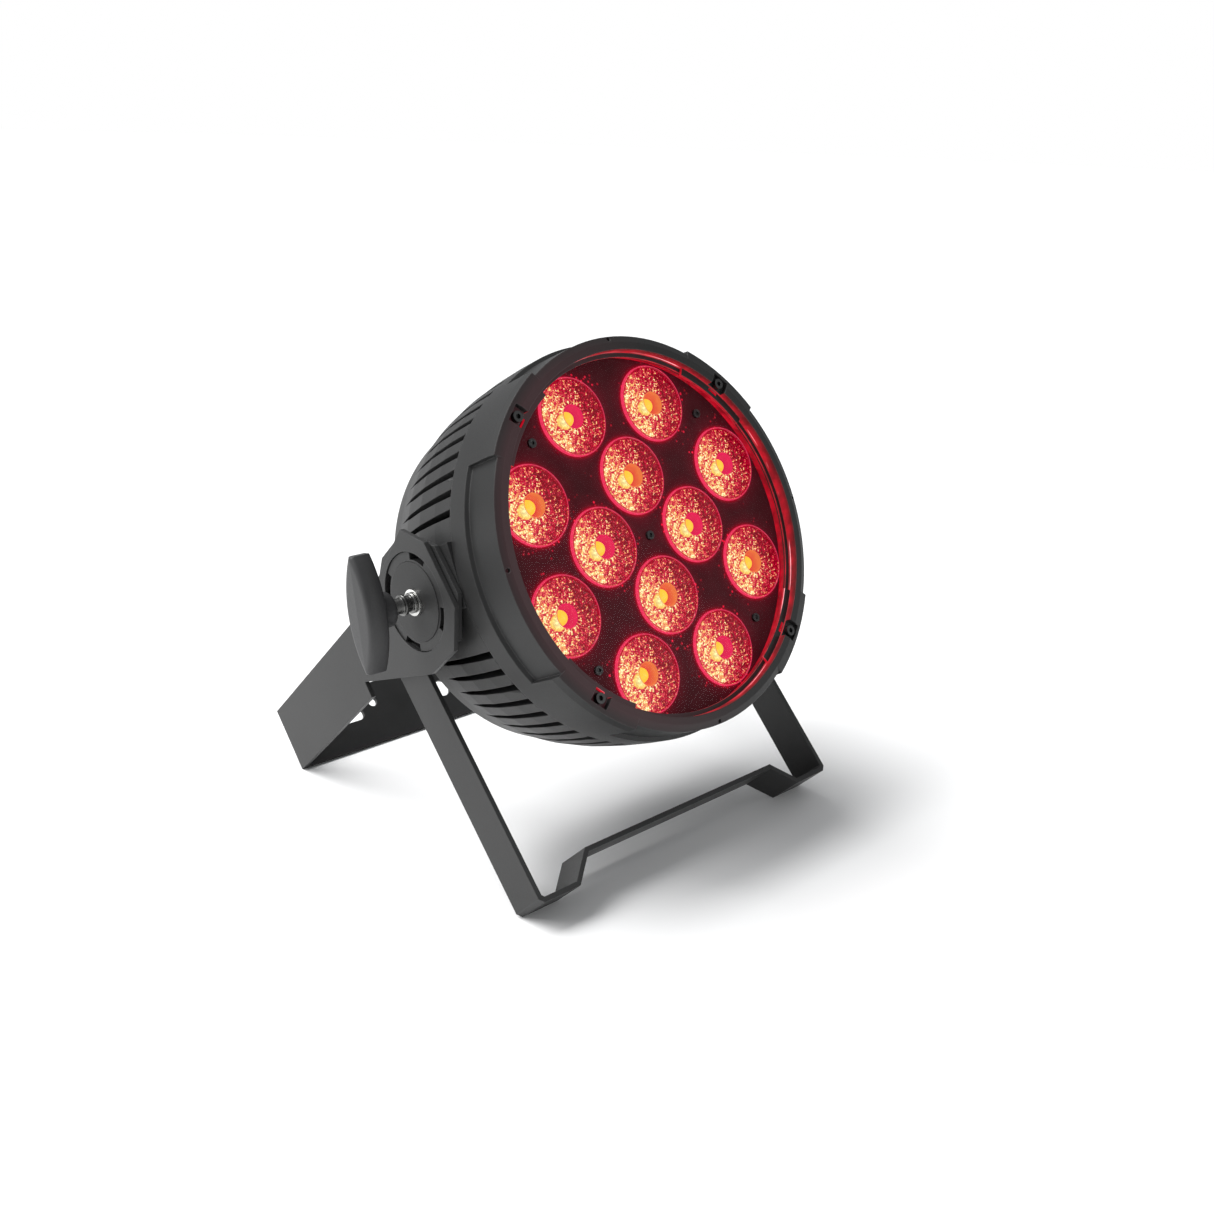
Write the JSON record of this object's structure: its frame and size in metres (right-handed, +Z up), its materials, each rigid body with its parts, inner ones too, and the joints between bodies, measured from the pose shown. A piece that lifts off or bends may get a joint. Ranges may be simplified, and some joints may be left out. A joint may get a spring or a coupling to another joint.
{
  "type": "led par can",
  "caption": "Compact LED par light: round finned casting, red-lit lens face in a segmented bezel, pivoting scissor brackets as a floor stand, wing knobs.",
  "frame": {"origin": "on the floor, at the middle of the footprint", "axes": "+X along the pivot axis, -Y the way the lamp faces, +Z up"},
  "size_m": [0.3392, 0.301, 0.3134],
  "materials": {
    "casting": "matte powder coat, fine texture",
    "bezel": "matte powder coat",
    "steel_black": "matte powder-coated sheet steel",
    "black_screw": "blackened steel",
    "zinc": "zinc-plated steel",
    "stainless": "bright",
    "brass": "turned brass",
    "rubber": "black elastomer",
    "clear_glass": "clear toughened sheet",
    "lens_acrylic": "clear moulded optic lit red",
    "lens_black": "matte black plate",
    "board_white": "white solder mask on aluminium",
    "led": "lit red emitter",
    "board_green": "green solder mask",
    "board_blue": "blue solder mask",
    "component": "black moulded parts",
    "knob_black": "glass-filled nylon",
    "nylon": "black nylon",
    "button_grey": "grey key cap",
    "display": "smoked window",
    "power_blue": "blue inlet",
    "power_grey": "grey outlet",
    "data_black": "black socket"
  },
  "bodies": {
    "head": {"heatsink_body": "casting", "front_bezel": "bezel", "bezel_oring": "rubber", "bezel_screws": "black_screw", "front_glass": "clear_glass", "glass_gasket": "rubber", "lens_plate": "lens_black", "lens_plate_screws": "black_screw", "lens_01": "lens_acrylic", "lens_02": "lens_acrylic", "lens_03": "lens_acrylic", "lens_04": "lens_acrylic", "lens_05": "lens_acrylic", "lens_06": "lens_acrylic", "lens_07": "lens_acrylic", "lens_08": "lens_acrylic", "lens_09": "lens_acrylic", "lens_10": "lens_acrylic", "lens_11": "lens_acrylic", "lens_12": "lens_acrylic", "led_board": "board_white", "led_emitters": "led", "rear_cover": "casting", "rear_gasket": "rubber", "rear_cover_screws": "zinc", "display_window": "display", "display_board": "board_green", "power_in": "power_blue", "power_out": "power_grey", "data_in": "data_black", "data_out": "data_black", "breather_valve": "stainless", "safety_eye": "zinc", "psu_board": "board_green", "psu_parts": "component", "driver_board": "board_blue", "driver_parts": "component", "board_standoffs": "brass", "clamp_insert_left": "brass", "clamp_insert_right": "brass", "pivot_washer_left": "stainless", "pivot_washer_right": "stainless", "pivot_ring_left": "nylon", "pivot_ring_right": "nylon"},
    "front_leg": {"front_leg": "steel_black"},
    "rear_bracket": {"rear_bracket": "steel_black"},
    "knob_left": {"knob_left": "knob_black", "knob_stud_left": "stainless"},
    "knob_right": {"knob_right": "knob_black", "knob_stud_right": "stainless"},
    "button_1": {"button_1": "button_grey"},
    "button_2": {"button_2": "button_grey"},
    "button_3": {"button_3": "button_grey"},
    "button_4": {"button_4": "button_grey"}
  },
  "joints": [
    {"name": "front_leg_pivot", "type": "hinge", "parent": "head", "child": "front_leg", "pos_m": [0, -0.02344, 0.16913], "axis": [1, 0, 0], "range_deg": [-90, 90]},
    {"name": "rear_bracket_pivot", "type": "hinge", "parent": "head", "child": "rear_bracket", "pos_m": [0, -0.02344, 0.16913], "axis": [1, 0, 0], "range_deg": [-90, 136]},
    {"name": "knob_left_turn", "type": "hinge", "parent": "head", "child": "knob_left", "pos_m": [-0.163, -0.02344, 0.16913], "axis": [-1, 0, 0], "continuous": true},
    {"name": "knob_right_turn", "type": "hinge", "parent": "head", "child": "knob_right", "pos_m": [0.163, -0.02344, 0.16913], "axis": [1, 0, 0], "continuous": true},
    {"name": "button_1_press", "type": "slide", "parent": "head", "child": "button_1", "axis": [0, -0.887, 0.4617], "range_m": [0, 0.001], "stiffness_N_per_m": 400},
    {"name": "button_2_press", "type": "slide", "parent": "head", "child": "button_2", "axis": [0, -0.887, 0.4617], "range_m": [0, 0.001], "stiffness_N_per_m": 400},
    {"name": "button_3_press", "type": "slide", "parent": "head", "child": "button_3", "axis": [0, -0.887, 0.4617], "range_m": [0, 0.001], "stiffness_N_per_m": 400},
    {"name": "button_4_press", "type": "slide", "parent": "head", "child": "button_4", "axis": [0, -0.887, 0.4617], "range_m": [0, 0.001], "stiffness_N_per_m": 400}
  ]
}
